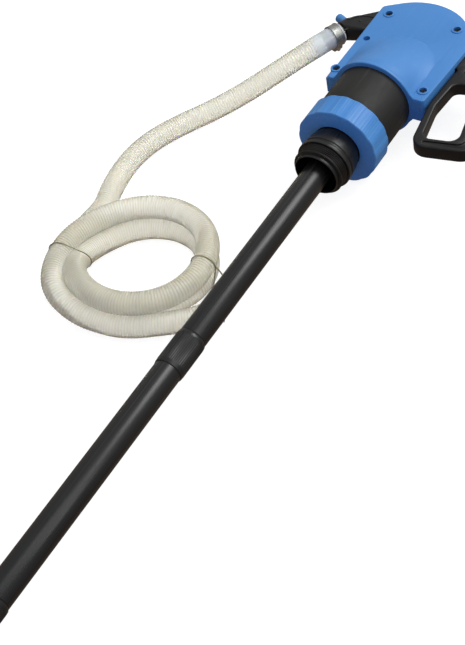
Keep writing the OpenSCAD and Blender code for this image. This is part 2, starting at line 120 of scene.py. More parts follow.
# ---------------------------------------------------------------- camera
cam_data = bpy.data.cameras.new("camera")
cam_data.lens = 78.157
cam_data.sensor_width = 36.0
cam_data.clip_start, cam_data.clip_end = 0.05, 50.0
camera = bpy.data.objects.new("camera", cam_data)
scene.collection.objects.link(camera)
right = Vector((0.84314, 0.51546, -0.15301))
ahead = Vector((-0.44091, 0.49993, -0.74543))
eye = at(645.25, -968.49, 1046.39)
camera.matrix_world = Matrix.Translation(eye) @ Matrix(
    (right, right.cross(ahead), -ahead)).transposed().to_4x4()
scene.camera = camera

# ---------------------------------------------------------------- materials


class Nodes:
    """A Principled material, with short calls for the nodes that feed it."""

    def __init__(self, name, **values):
        self.material = bpy.data.materials.new(name)
        self.material.use_nodes = True
        self.tree = self.material.node_tree
        self.shader = self.tree.nodes["Principled BSDF"]
        self.place = self.new("ShaderNodeTexCoord").outputs["Object"]
        for key, value in values.items():
            self.shader.inputs[key.replace("_", " ")].default_value = value

    def new(self, kind, **props):
        node = self.tree.nodes.new(kind)
        for key, value in props.items():
            setattr(node, key, value)
        return node

    def link(self, a, b):
        self.tree.links.new(a, b)

    def noise(self, scale, detail=3.0, rough=0.5, stretch=(1, 1, 1)):
        """Noise in the piece's own space, finer along an axis with a larger stretch."""
        mapping = self.new("ShaderNodeMapping")
        mapping.inputs["Scale"].default_value = stretch
        self.link(self.place, mapping.inputs["Vector"])
        node = self.new("ShaderNodeTexNoise")
        for key, value in (("Scale", scale), ("Detail", detail), ("Roughness", rough)):
            node.inputs[key].default_value = value
        self.link(mapping.outputs["Vector"], node.inputs["Vector"])
        return node.outputs["Fac"]

    def span(self, value, low, high, to_low=0.0, to_high=1.0):
        """The value's range low to high, spread over another one and clamped."""
        node = self.new("ShaderNodeMapRange")
        for key, v in zip(("From Min", "From Max", "To Min", "To Max"),
                          (low, high, to_low, to_high)):
            node.inputs[key].default_value = v
        self.link(value, node.inputs["Value"])
        return node.outputs["Result"]

    def mix(self, fac, a, b):
        """Colour a where fac is 0, b where it is 1. Each is a colour or another output."""
        node = self.new("ShaderNodeMix", data_type="RGBA")
        self.link(fac, node.inputs["Factor"])
        for value, socket in ((a, node.inputs[6]), (b, node.inputs[7])):
            if isinstance(value, tuple):
                socket.default_value = (*value, 1.0)
            else:
                self.link(value, socket)
        return node.outputs[2]

    def bump(self, height, strength, distance, before=None):
        node = self.new("ShaderNodeBump")
        node.inputs["Strength"].default_value = strength
        node.inputs["Distance"].default_value = distance
        self.link(height, node.inputs["Height"])
        if before is not None:
            self.link(before, node.inputs["Normal"])
        return node.outputs["Normal"]

    def wear(self, low, high):
        """0 on flat ground, 1 on convex edges."""
        geo = self.new("ShaderNodeNewGeometry")
        return self.span(geo.outputs["Pointiness"], low, high)

    def out(self, color=None, rough=None, normal=None):
        for value, key in ((color, "Base Color"), (rough, "Roughness"), (normal, "Normal")):
            if value is not None:
                self.link(value, self.shader.inputs[key])
        return self.material


# Noise scales are per metre, bump distances are in metres.
PATCHES, GLOSS, FLOW, SPECKS = 14, 60, 160, 420
EDGE_WEAR = (0.53, 0.62)
DUST = (0.20, 0.19, 0.17)


def moulded(name, base, pale, dark, rough, grain=1500, grain_depth=0.00004,
            streak=(1, 1, 1), streak_amount=0.35, dust=0.0, **values):
    """Moulded plastic: fine grain, flow streaks, uneven gloss, pale rubbed edges and dust."""
    m = Nodes(name, **values)
    broad = m.noise(PATCHES, 3)
    streaks = m.noise(FLOW, 4, 0.6, streak)
    fine = m.noise(grain, 2)
    color = m.mix(m.span(broad, 0.3, 0.7), dark, base)
    color = m.mix(m.span(streaks, 0.5, 0.85, 0.0, streak_amount), color, pale)
    color = m.mix(m.wear(*EDGE_WEAR), color, pale)
    if dust:
        specks = m.noise(SPECKS, 6, 0.75)
        color = m.mix(m.span(specks, 0.66, 0.8, 0.0, dust), color, DUST)
    gloss = m.span(m.noise(GLOSS, 5, 0.6, streak), 0.3, 0.7, rough - 0.07, rough + 0.09)
    normal = m.bump(fine, 0.5, grain_depth)
    normal = m.bump(streaks, 0.3, 0.00005, normal)
    return m.out(color, gloss, normal)


BLUE = moulded("blue_plastic", (0.058, 0.217, 0.53), (0.088, 0.265, 0.58), (0.050, 0.202, 0.505),
               0.46, streak=(1.2, 0.12, 1.2), streak_amount=0.3, IOR=1.42)
# The ring nut's blue is painted lighter than the covers' blue, and its pale streaks stronger, as
# painted light for its lit side; the lengthwise streaks themselves are its flow lines.
NUT_BLUE_PAINTED_LIGHTER = moulded("blue_nut_plastic_painted_lighter", (0.066, 0.238, 0.56), (0.14, 0.35, 0.65),
                   (0.043, 0.20, 0.53), 0.48, streak=(3.0, 0.1, 3.0), streak_amount=0.7,
                   IOR=1.42)
BLUE_TEXTURED = moulded("blue_textured_plastic", (0.045, 0.20, 0.54), (0.075, 0.25, 0.59),
                        (0.038, 0.185, 0.51), 0.55, grain=700, grain_depth=0.00016,
                        streak=(1.2, 0.2, 1.2), IOR=1.42)
BLACK = moulded("black_plastic", (0.0075, 0.0072, 0.0068), (0.030, 0.029, 0.026),
                (0.0045, 0.0045, 0.0043), 0.38, grain=1100, grain_depth=0.00008,
                streak=(1, 0.15, 1), dust=0.06, IOR=1.40)
BLACK_TUBE = moulded("black_tube_plastic", (0.0075, 0.0075, 0.0075), (0.026, 0.025, 0.023),
                     (0.005, 0.005, 0.005), 0.30, grain=1800, grain_depth=0.00003,
                     streak=(4, 0.04, 4), streak_amount=0.2, dust=0.05, IOR=1.44)
BARREL = moulded("barrel_plastic", (0.013, 0.013, 0.0118), (0.028, 0.027, 0.023),
                 (0.010, 0.010, 0.0092), 0.62, grain=900, grain_depth=0.00010,
                 streak=(1, 0.3, 1), dust=0.08, IOR=1.38)
NYLON = moulded("nylon", (0.74, 0.72, 0.66), (0.82, 0.81, 0.76), (0.66, 0.64, 0.58), 0.45,
                IOR=1.5)
RUBBER = moulded("rubber", (0.018, 0.018, 0.018), (0.05, 0.05, 0.048), (0.012, 0.012, 0.012),
                 0.70, grain=600, grain_depth=0.00010, dust=0.1)


def metal(name, base, rough, stretch):
    """Drawn or rolled metal: fine lines along the stretch, and darker stains."""
    m = Nodes(name, Metallic=1.0)
    lines = m.noise(900, 3, 0.6, stretch)
    stain = m.noise(70, 4, 0.6)
    dark = tuple(c * 0.72 for c in base)
    color = m.mix(m.span(stain, 0.35, 0.7), dark, base)
    gloss = m.span(lines, 0.3, 0.7, rough - 0.06, rough + 0.12)
    return m.out(color, gloss, m.bump(lines, 0.35, 0.00003))


STEEL = metal("bright_steel", (0.60, 0.60, 0.59), 0.28, (1, 1, 0.1))
SCREW = metal("dark_screw_steel", (0.10, 0.10, 0.11), 0.38, (1, 1, 1))
BAND = metal("clamp_steel", (0.44, 0.45, 0.43), 0.42, (1, 1, 0.1))


def hose_pvc():
    """Milky soft PVC: clearer and cooler where it is smooth, whiter along the ribs."""
    m = Nodes("clear_pvc", IOR=1.48, Subsurface_Weight=0.7, Subsurface_Scale=0.006)
    m.shader.inputs["Subsurface Radius"].default_value = (1.0, 0.8, 0.5)
    fine = m.noise(420, 3, 0.6)
    color = m.mix(m.span(m.noise(25, 3), 0.3, 0.7), (0.94, 0.925, 0.83), (0.97, 0.96, 0.89))
    marks = m.new("ShaderNodeSeparateColor")
    m.link(m.new("ShaderNodeVertexColor", layer_name="rib").outputs["Color"], marks.inputs[0])
    high, smooth_part = marks.outputs[0], marks.outputs[1]
    color = m.mix(m.span(high, 0.0, 1.0), (0.88, 0.85, 0.71), color)
    color = m.mix(m.span(fine, 0.6, 0.85, 0.0, 0.2), color, (1.0, 1.0, 0.97))
    color = m.mix(m.span(smooth_part, 0.0, 1.0), color, (0.80, 0.86, 0.88))
    m.link(m.span(smooth_part, 0.0, 1.0, 0.70, 0.40), m.shader.inputs["Transmission Weight"])
    gloss = m.span(m.noise(120, 4), 0.3, 0.7, 0.12, 0.22)
    return m.out(color, gloss, m.bump(fine, 0.12, 0.00003))


def tie_material():
    """Dull brown coating of a twisted wire tie."""
    m = Nodes("wire_tie", IOR=1.45)
    fine = m.noise(700, 3)
    color = m.mix(m.span(fine, 0.35, 0.65), (0.16, 0.15, 0.07), (0.27, 0.25, 0.13))
    gloss = m.span(fine, 0.3, 0.7, 0.35, 0.5)
    return m.out(color, gloss, m.bump(fine, 0.3, 0.00005))


PVC = hose_pvc()
TIE = tie_material()

# ---------------------------------------------------------------- mesh helpers


def from_lists(verts, faces):
    """A mesh from points and index lists. Faces with a repeated point are left out."""
    bm = bmesh.new()
    made = [bm.verts.new(v) for v in verts]
    for face in faces:
        try:
            bm.faces.new([made[i] for i in face])
        except ValueError:
            pass
    return bm


def grid(rows, caps=True, loop=False):
    """Quads between rings of points. caps close the two ends, loop joins them to each other."""
    n, verts, faces = len(rows[0]), [p for row in rows for p in row], []
    for i in range(len(rows) if loop else len(rows) - 1):
        a, b = i * n, ((i + 1) % len(rows)) * n
        for k in range(n):
            k2 = (k + 1) % n
            faces.append((a + k, a + k2, b + k2, b + k))
    if caps and not loop:
        faces.append(tuple(range(n - 1, -1, -1)))
        faces.append(tuple(range((len(rows) - 1) * n, len(rows) * n)))
    bm = from_lists(verts, faces)
    bmesh.ops.recalc_face_normals(bm, faces=bm.faces)
    return bm


def turned(profile, n=96, radius=None):
    """Revolves a closed [r, y] profile about the tube axis. radius(r, y, angle) may bend it."""
    rows = []
    for r, y in profile:
        row = []
        for k in range(n):
            a = 2 * math.pi * k / n
            q = radius(r, y, a) if radius else r
            row.append((q * math.cos(a), y, q * math.sin(a)))
        rows.append(row)
    return grid(rows, loop=True)


SHORTEST = 0.02


def rounded_profile(points, r=0.5, steps=3):
    """A closed profile with every corner drawn in by r, or by its point's third number."""
    out, n = [], len(points)
    for i in range(n):
        p = Vector(points[i][:2])
        a, b = Vector(points[i - 1][:2]), Vector(points[(i + 1) % n][:2])
        q = points[i][2] if len(points[i]) > 2 else r
        u, v = a - p, b - p
        q = min(q, u.length * 0.45, v.length * 0.45)
        if q < SHORTEST:
            out.append(tuple(p))
            continue
        first, last = p + u.normalized() * q, p + v.normalized() * q
        for s in range(steps + 1):
            t = s / steps
            out.append(tuple(first * (1 - t) ** 2 + p * 2 * t * (1 - t) + last * t * t))
    return out


def no_doubles(outline):
    """The outline without points that all but touch the one before."""
    return [p for i, p in enumerate(outline) if math.dist(p, outline[i - 1]) > SHORTEST]


def soften(bm, test, r):
    """Rounds the edges that pass test(edge)."""
    edges = [e for e in bm.edges if len(e.link_faces) == 2 and test(e)]
    bmesh.ops.bevel(bm, geom=edges, offset=r, segments=3, profile=0.5, affect="EDGES",
                    clamp_overlap=False)
    return bm


def prism(outline, z0, z1, top=0.0, low=0.0):
    """A plate with rounded upper and lower edges."""
    outline = no_doubles(outline)
    bm = grid([[(x, y, z0) for x, y in outline], [(x, y, z1) for x, y in outline]])
    for z, r in ((z1, top), (z0, low)):
        if r:
            soften(bm, lambda e: all(abs(v.co.z - z) < 1e-4 for v in e.verts), r)
    return bm


def turn_to(bm, centre, direction):
    """Moves a solid made about +Z from the origin to centre, along direction."""
    q = Vector(direction).to_track_quat("Z", "Y").to_matrix().to_4x4()
    bm.transform(Matrix.Translation(centre) @ q)
    return bm


def rod(centre, direction, length, r, n=48, edge=0.0, end_r=None):
    """A round bar from centre along direction, with rounded rims; end_r makes it a cone."""
    end_r = r if end_r is None else end_r
    rows = [[(*polar(r, 360 * k / n), 0) for k in range(n)],
            [(*polar(end_r, 360 * k / n), length) for k in range(n)]]
    bm = grid(rows)
    if edge:
        soften(bm, lambda e: abs(e.verts[0].co.z - e.verts[1].co.z) < 1e-5, edge)
    return turn_to(bm, centre, direction)


def block(lo, hi):
    """A cutter with flat sides."""
    x0, y0, z0 = lo
    x1, y1, z1 = hi
    return grid([[(x0, y0, z), (x1, y0, z), (x1, y1, z), (x0, y1, z)] for z in (z0, z1)])


def flipped(bm):
    """The solid's mirror image in z = 0."""
    bm.transform(Matrix.Scale(-1, 4, UP))
    bmesh.ops.reverse_faces(bm, faces=bm.faces)
    return bm


def join(*parts):
    """Several solids in one mesh, not fused."""
    out = bmesh.new()
    for bm in parts:
        me = bpy.data.meshes.new("part")
        bm.to_mesh(me)
        out.from_mesh(me)
        bpy.data.meshes.remove(me)
    return out


def solve(bm, others, kind):
    """Fuses or cuts solids."""
    def hold(b):
        me = bpy.data.meshes.new("tool")
        b.to_mesh(me)
        ob = bpy.data.objects.new("tool", me)
        scene.collection.objects.link(ob)
        return ob
    base = hold(bm)
    tools = [hold(b) for b in others]
    for tool in tools:
        mod = base.modifiers.new("solve", "BOOLEAN")
        mod.operation, mod.object, mod.solver = kind, tool, "EXACT"
    graph = bpy.context.evaluated_depsgraph_get()
    out = bmesh.new()
    out.from_mesh(base.evaluated_get(graph).to_mesh())
    for ob in [base] + tools:
        me = ob.data
        bpy.data.objects.remove(ob)
        bpy.data.meshes.remove(me)
    bmesh.ops.remove_doubles(out, verts=out.verts, dist=1e-4)
    bmesh.ops.dissolve_degenerate(out, dist=1e-4, edges=out.edges)
    return out


def fuse(bm, *others):
    return solve(bm, others, "UNION")


def cut(bm, *others):
    return solve(bm, others, "DIFFERENCE")


def piece(name, bm, body, material, nodes=(), sharp=32):
    """Finishes a piece: into the frame, smooth shading, material and body; it hides the CAD nodes
    it stands in for.
    """
    me = bpy.data.meshes.new(name)
    bm.to_mesh(me)
    bm.free()
    me.transform(MM)
    me.materials.append(material)
    for p in me.polygons:
        p.use_smooth = True
    me.set_sharp_from_angle(angle=math.radians(sharp))
    ob = bpy.data.objects.new(name, me)
    scene.collection.objects.link(ob)
    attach(ob, body)
    if nodes:
        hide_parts(*([nodes] if isinstance(nodes, str) else nodes))
    return ob


# ---------------------------------------------------------------- hose
# All in metres about AXIS. The route's points are the CAD route's.
ROUTE = [(-0.0934, 0.1797, 0), (-0.103, 0.159, -0.0005), (-0.114, 0.137, -0.0025),
         (-0.127, 0.115, -0.007), (-0.142, 0.094, -0.014), (-0.158, 0.073, -0.0215),
         (-0.175, 0.051, -0.028), (-0.192, 0.029, -0.0325), (-0.209, 0.006, -0.035),
         (-0.223, -0.019, -0.0354), (-0.233, -0.046, -0.0354), (-0.237, -0.075, -0.0354),
         (-0.235, -0.104, -0.0354), (-0.229, -0.132, -0.0354), (-0.222, -0.156, -0.0354)]
HOSE_R = 0.013
BORE_R = 0.0100
RIB_PITCH = 0.0031
RIB_DEPTH = 0.0007
SMOOTH_END = 0.030
COIL = (-0.118, -0.218)
# The coil's bends: angle in degrees, radius and height of the hose's middle
BENDS = [(165, 0.109, -0.0354), (202, 0.0945, -0.0354), (232, 0.079, -0.0354),
         (260, 0.060, -0.0354), (285, 0.0525, -0.0354), (318, 0.054, -0.0354),
         (360, 0.0615, -0.0354), (405, 0.066, -0.0354), (472, 0.066, -0.0354),
         (517, 0.070, -0.0342), (540, 0.074, -0.030), (560, 0.0765, -0.0215),
         (577, 0.0765, -0.014), (607, 0.072, -0.0105), (652, 0.0675, -0.0115),
         (697, 0.069, -0.010), (765, 0.070, -0.0092), (832, 0.072, -0.0092),
         (877, 0.0795, -0.0092), (915, 0.0935, -0.0105), (945, 0.1015, -0.016),
         (968, 0.092, -0.0275), (990, 0.081, -0.035), (1030, 0.0785, -0.0354),
         (1059, 0.0925, -0.0354), (1071.5, 0.1048, -0.0354)]


def on_coil(bend):
    """A bend's point on the coil, from its angle, radius and height."""
    a, r, z = bend
    return (COIL[0] + r * math.cos(math.radians(a)), COIL[1] + r * math.sin(math.radians(a)), z)


def ribbed_hose(points, sides=28):
    """A hollow hose round the points, with a helical rib, a smooth start and an open far end.

    Its vertex colour "rib" says how high on the rib a point is (red) and how smooth the
    hose is there (green).
    """
    step = RIB_PITCH / 5
    points = even(points, step)
    n = len(points)
    side = None
    rows, marks = [], []
    for i, p in enumerate(points):
        t = (points[min(i + 1, n - 1)] - points[max(i - 1, 0)]).normalized()
        side = t.cross(UP) if side is None else side
        side = (side - t * side.dot(t)).normalized()
        other = side.cross(t)
        run = i * step
        ribbed = smooth((run - SMOOTH_END - 0.004) / 0.012)
        plain = 1 - smooth((run - SMOOTH_END) / 0.02)
        row, mark = [], []
        for k in range(sides):
            a = 2 * math.pi * k / sides
            phase = run / RIB_PITCH - k / sides
            wave = (0.5 + 0.5 * math.cos(2 * math.pi * phase)) ** 1.5
            r = HOSE_R - RIB_DEPTH * (1 - wave) * ribbed
            if run < SMOOTH_END:
                r = HOSE_R - 0.0002
            row.append(around(p, side, other, r, a))
            mark.append((wave * ribbed + (1 - ribbed), plain))
        rows.append(row)
        marks.append(mark)
    # Round the end's lip and a little way back inside it
    for back, r in ((0, HOSE_R - 0.0009), (0, BORE_R + 0.0006), (2, BORE_R), (12, BORE_R),
                    (24, BORE_R)):
        i = max(n - 1 - back, 1)
        t = (points[i] - points[i - 1]).normalized()
        s = (side - t * side.dot(t)).normalized()
        o = s.cross(t)
        rows.append([around(points[i], s, o, r, 2 * math.pi * k / sides) for k in range(sides)])
        marks.append([(0.6, 0.0)] * sides)
    bm = grid(rows)
    layer = bm.verts.layers.float_color.new("rib")
    flat = [m for row in marks for m in row]
    for v, m in zip(bm.verts, flat):
        v[layer] = (m[0], m[1], 0, 1)
    return bm, points


coil = [on_coil(bend) for bend in spline(BENDS, 3)]
hose_mesh, hose_points = ribbed_hose(spline(ROUTE + coil, 6))
# piece() takes millimetres about AXIS
hose_mesh.transform(MM.inverted() @ Matrix.Translation(AXIS))
hose = piece("hose", hose_mesh, "pump", PVC, ("hose_run", "hose_coil"), sharp=60)

# ---------------------------------------------------------------- wire ties


def hull2d(points):
    """The convex outline round flat points."""
    points = sorted(points)
    def half(seq):
        out = []
        for p in seq:
            while len(out) > 1 and ((out[-1][0] - out[-2][0]) * (p[1] - out[-2][1])
                                    - (out[-1][1] - out[-2][1]) * (p[0] - out[-2][0])) <= 0:
                out.pop()
            out.append(p)
        return out[:-1]
    return half(points) + half(points[::-1])


def sweep(points, r, sides=10, closed=False, twist=0.0):
    """A wire along the points. twist gives it an oval section that turns, in turns per mm."""
    n, side, rows, run = len(points), None, [], 0.0
    for i, p in enumerate(points):
        a = points[(i - 1) % n] if closed else points[max(i - 1, 0)]
        b = points[(i + 1) % n] if closed else points[min(i + 1, n - 1)]
        t = (b - a).normalized()
        if side is None:
            side = t.cross(Vector((0.3, 0.2, 1))).normalized()
        side = (side - t * side.dot(t)).normalized()
        other = t.cross(side)
        if i:
            run += (p - points[i - 1]).length
        row = []
        for k in range(sides):
            a = 2 * math.pi * k / sides
            q = r * (1 + 0.22 * math.cos(2 * (a - 2 * math.pi * twist * run))) if twist else r
            row.append(around(p, side, other, q, a))
        rows.append(row)
    return grid(rows, loop=closed)


# The ties pass over the outer bend, which lies past COIL_REACH, in metres
COIL_REACH = 0.112
TIE_R = 13.7


def bundle_at(angle):
    """Where the hose's middle passes a half-plane through the coil's axis: (r, z), in mm."""
    found = []
    c = Vector((COIL[0], COIL[1]))
    d = Vector(polar(1, angle))
    for a, b in zip(hose_points, hose_points[1:]):
        pa, pb = Vector(a[:2]) - c, Vector(b[:2]) - c
        ca, cb = d.x * pa.y - d.y * pa.x, d.x * pb.y - d.y * pb.x
        if ca * cb <= 0 and pa.dot(d) > 0 and pa.length < COIL_REACH:
            found.append((pa.length * 1000, a[2] * 1000))
    return found


def wire_tie(name, angle, tail):
    """A twisted wire drawn tight round the strands, with a free tail from its outermost point."""
    circle = [polar(TIE_R, k * 10) for k in range(36)]
    loop = hull2d([(r + x, max(z + y, FLOOR)) for r, z in bundle_at(angle) for x, y in circle])
    c = Vector((COIL[0] * 1000, COIL[1] * 1000, 0))
    d = Vector((*polar(1, angle), 0))
    ring = [c + d * r + UP * z for r, z in loop]
    band = sweep(even(ring + [ring[0]], 1.2)[:-1], 0.62, closed=True, twist=0.16)
    r, z = max(loop)
    start = c + d * r + UP * z
    free = sweep(spline([start + Vector(t) for t in tail], 8), 0.8, twist=0.22)
    return piece(name, join(band, free), "pump", TIE, sharp=70)


left_tie = wire_tie("left_wire_tie", 199, [(0, 0, 0), (-2, -1, -3), (-3, -2.5, -6), (-1.5, -4, -9)])
right_tie = wire_tie("right_wire_tie", 11.5, [(0, 0, 0), (3.5, -0.5, -2), (7, -1.5, -5),
                                              (10, -2.6, -8), (12.5, -3.6, -11)])
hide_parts("hose_ties")

# ---------------------------------------------------------------- hose clamp
# The spout's tail: the middle of the clamp on it, its direction, and the way across it
TAIL = Vector((-96.8, 172.5, 0))
TAIL_ANGLE = 154.5
ALONG = Vector((*polar(1, TAIL_ANGLE + 90), 0))
ACROSS = Vector((*polar(1, TAIL_ANGLE), 0))
WORM = TAIL + UP * 16.8


def spun(profile, origin, axis, side, n):
    """Revolves a closed [r, s] profile about a level axis, s along it and side across it."""
    return grid([[around(origin + axis * s, side, UP, r, 2 * math.pi * k / n) for k in range(n)]
                 for r, s in profile], loop=True)


def clamp_band():
    """A band with two rolled edges, and slanted slots all round but at the housing."""
    edge = [(13.2, -5.8), (14.15, -5.8), (14.15, -4.9), (13.75, -4.6),
            (13.75, 4.6), (14.15, 4.9), (14.15, 5.8), (13.2, 5.8)]
    band = spun(rounded_profile(edge, 0.2, 2), TAIL, ALONG, ACROSS, 72)
    slots, count = [], 28
    for k in range(count):
        a = 2 * math.pi * (k + 0.5) / count
        out = ACROSS * math.cos(a) + UP * math.sin(a)
        if out.z < -0.86:
            continue
        slot = block((-2.9, -0.55, 0), (2.9, 0.55, 3))
        facing = Matrix((ALONG, out.cross(ALONG), out)).transposed().to_4x4()
        slot.transform(Matrix.Translation(TAIL + out * 13.45) @ facing
                       @ Matrix.Rotation(math.radians(12), 4, "Z"))
        slots.append(slot)
    return cut(band, join(*slots))


def clamp_housing():
    """The saddle over the worm: a rounded bridge with two ribs."""
    half, base = 6.6, 13
    outline = []
    for i in range(13):
        a = math.pi * i / 12
        outline.append((half * math.cos(a), 13.6 + half * math.sin(a) ** 0.7))
    outline += [(-half, 12.9), (half, 12.9)]
    rows = []
    for s, k in ((-5.4, 0.93), (-4.9, 1.0), (-1.2, 1.0), (-0.9, 0.95), (0.9, 0.95), (1.2, 1.0),
                 (4.9, 1.0), (5.4, 0.93)):
        rows.append([tuple(TAIL + ALONG * s + ACROSS * (x * k) + UP * (base + (z - base) * k))
                     for x, z in outline])
    return cut(grid(rows), rod(WORM - ACROSS * 12, ACROSS, 24, 2.9, 24))


def worm_screw():
    """The clamp's screw: a threaded shank and a slotted hexagon head."""
    start, step, pitch, core, depth = -6.5, 0.3, 1.6, 2.25, 0.55
    rows, n = [], 24
    for i in range(57):
        s = start + i * step
        row = []
        for k in range(n):
            a = 2 * math.pi * k / n
            wave = abs(((s / pitch - k / n) % 1.0) * 2 - 1)
            row.append(around(WORM + ACROSS * s, ALONG, UP, core + depth * wave, a))
        rows.append(row)
    head_at = WORM + ACROSS * 8.6
    head = rod(head_at, ACROSS, 3.4, 3.8, 6, 0.35)
    notch = turn_to(block((-0.5, -4.5, 2.3), (0.5, 4.5, 4.5)), head_at, ACROSS)
    return join(grid(rows), cut(head, notch))


# The housing and its screw are drawn over the tail and turned to its underside
clamp = piece("hose_clamp_band", clamp_band(), "pump", BAND, "hose_clamp")
saddle = piece("hose_clamp_saddle", flipped(clamp_housing()), "pump", BAND)
worm = piece("clamp_worm_screw", flipped(worm_screw()), "pump", STEEL, "clamp_screw")

# ---------------------------------------------------------------- covers
# The covers meet at z = 0. Each is FACE thick, with walls of WALL.
CROWN = (-1.0, 180.0)
CROWN_R = 70.5
LEFT_EDGE = -58.5
FACE = 15.5
WALL = 3
SCREWS = [(-44.2, 214.4), (44.2, 214.4), (55.3, 103.4), (-55.3, 103.4)]
BLIND = (-48.0, 164.3)
PIVOT = (51.5, 172.0)
LEVER_SWING = 60
DUCT_Y = 195


def arc(c, r, a0, a1, n):
    """Points on a circle about c, from angle a0 to a1 in n steps."""
    angles = [a0 + (a1 - a0) * i / n for i in range(n + 1)]
    return [(c[0] + polar(r, a)[0], c[1] + polar(r, a)[1]) for a in angles]


def head_outline(inset):
    """The head's outline: round lower corners, the crown's arc and a tight upper left corner."""
    low_r, top_r, top_a = 4.0, 5.5, 124
    low_right, low_left = (60.0, 91.0), (LEFT_EDGE + low_r, 91.0)
    nx, ny = polar(1, top_a)
    top_x = LEFT_EDGE + top_r
    top_y = CROWN[1] + (CROWN_R - top_r - (top_x - CROWN[0]) * nx) / ny
    gx, gy = CROWN[0] - low_right[0], CROWN[1] - low_right[1]
    side_a = math.degrees(math.atan2(gy, gx) - math.acos((low_r - CROWN_R) / math.hypot(gx, gy)))
    return (arc(low_right, low_r - inset, -90, side_a, 6)
            + arc(CROWN, CROWN_R - inset, side_a, top_a, 72)
            + arc((top_x, top_y), top_r - inset, top_a, 180, 8)
            + arc(low_left, low_r - inset, 180, 270, 6))


def shoulder(r, flat_r, face, y0, rim=None, fillet=0.0):
    """The half-round shoulder over the barrel, which runs out into the flat face.

    It starts at y0, is straight up to round_end and ends on an arc of radius flat_r about
    flat_start. rim is the height of the raised rim at its open end, None for a sharp end.
    fillet widens its foot.
    """
    n = 64
    bottom, round_end, flat_start = -1.5, 97.0, 135.0
    open_end = [(y0, r)] if rim is None else [
        (y0, r - 0.5), (y0 + 0.4, r - 0.1 + rim * 0.8), (y0 + 1, r + rim), (y0 + 3, r + rim),
        (y0 + 5, r + rim * 0.4), (y0 + 7, r)]
    rows = [[(q * math.cos(math.pi * k / n), y, q * math.sin(math.pi * k / n) + 1e-3)
             for k in range(n + 1)] for y, q in open_end + [(round_end, r)]]
    for w in (0.12, 0.25, 0.4, 0.55, 0.7, 0.82, 0.9, 0.95, 1.0, 1.05):
        h = 1 - w if w <= 0.94 else (1.06 - w) ** 2 / 0.24
        sink = 0.4 * smooth(w / 0.4)
        row = []
        for k in range(n + 1):
            c, q = math.cos(math.pi * k / n), math.sin(math.pi * k / n)
            x = r * c + (flat_r - r) * c * w
            y = round_end + (flat_start + flat_r * q - round_end) * min(w, 1.0)
            row.append((x, y + (0.6 if w > 1 else 0) * q, face + (r * q - face) * h - sink + 1e-3))
        rows.append(row)
    for row in rows:
        for k, (x, y, z) in enumerate(row):
            t = min(1.0, max(0.0, (z - face) / 9))
            row[k] = (x + fillet * (1 - t) ** 2 * math.cos(math.pi * k / n), y, z)
    rings = [row + [(x, y, bottom) for x, y, _ in row[::-1]] for row in rows]
    bm = grid(rings, caps=False)
    bm.verts.ensure_lookup_table()
    ring = 2 * n + 2
    for start in (0, (len(rows) - 1) * ring):
        for k in range(n):
            bm.faces.new([bm.verts[start + i] for i in (k, k + 1, ring - 2 - k, ring - 1 - k)])
    bmesh.ops.recalc_face_normals(bm, faces=bm.faces)
    return bm


def lever_slot():
    """Cutter for the slot in the right wall, as wide as the lever's swing needs."""
    room, low, right, half = 15.5, 157, 95, 9.2
    out, across = polar(1, LEVER_SWING), polar(1, LEVER_SWING + 90)
    edge = (PIVOT[0] + across[0] * room, PIVOT[1] + across[1] * room)
    near, far = [(edge[0] + out[0] * d, edge[1] + out[1] * d) for d in (24, 62)]
    return prism([(near[0], low), (right, low), (right, far[1]), far, near], -half, half)


def cover(front):
    """One half of the head, drawn on the +Z side and turned over for the rear."""
    plate = prism(head_outline(0), 0, FACE, 1.5, 0.3)
    # The lower left screw's post stands proud of the outline, with a ledge round it
    post = rod((*SCREWS[3], 0.1), UP, FACE - 0.12, 6.7, 64, 0.7)
    ledge = prism([(-62.3, 90), (-47, 90), (-47, 104), (-62.3, 104)], 0.05, FACE - 4.5, 1.2, 0.3)
    rim = 1.8 if front else 0.0
    body = fuse(plate, ledge, post, shoulder(48.5, 48.0, FACE, 86.97, rim, fillet=3.0))
    ceiling = FACE - WALL
    body = cut(body, prism(head_outline(WALL), -6, ceiling), shoulder(45.3, 44.6, ceiling, 85.0),
               block((-80, 60, -9), (90, 260, 0)))
    # Screw posts, the blind hole's boss, the pivot's boss and the screws' raised rings
    adds = [rod((*p, 0), UP, 14, 5, 32) for p in SCREWS]
    adds.append(rod((*BLIND, 3), UP, 11, 5, 32))
    adds.append(rod((*PIVOT, 8.9), UP, 5, 9.5, 48))
    if front:
        adds += [rod((*p, 14), UP, 2.6, 6.6, 48, 0.3) for p in SCREWS]
    body = fuse(body, *adds)
    # The lever's slot, the spout's opening, the pivot bush's socket and the barrel's seat
    cuts = [lever_slot(), rod((-40, DUCT_Y, 0), (-1, 0, 0), 30, 10.2, 48),
            rod((*PIVOT, 8), UP, 4.5, 7, 48), rod((0, 86, 0), (0, 1, 0), 11, 45.05, 128)]
    if front:
        for p in SCREWS:
            cuts += [rod((*p, -1), UP, 20, 2.1, 24), rod((*p, 11), UP, 6, 4.5, 40)]
        cuts.append(rod((*BLIND, 9.5), UP, 8, 4.2, 32))
    else:
        cuts += [rod((*p, -1), UP, 11.5, 1.9, 24) for p in SCREWS]
    body = cut(body, *cuts)
    return body if front else flipped(body)


piece("front_cover_shell", cover(True), "pump", BLUE, "front_cover", 28)
piece("rear_cover_shell", cover(False), "pump", BLUE_TEXTURED, "rear_cover", 28)


def cover_screw(p):
    """A pan-head screw with a cross recess."""
    head = rod((*p, 11.1), UP, 3.0, 4.15, 40, 0.5)
    cross = [block((p[0] - a, p[1] - b, 12.4), (p[0] + a, p[1] + b, 15)) for a, b in
             ((2.3, 0.45), (0.45, 2.3))]
    return join(cut(head, *cross), rod((*p, -10), UP, 21.2, 1.85, 24, 0.3))


piece("cover_screw_set", join(*[cover_screw(p) for p in SCREWS]), "pump", SCREW,
      "cover_screws")

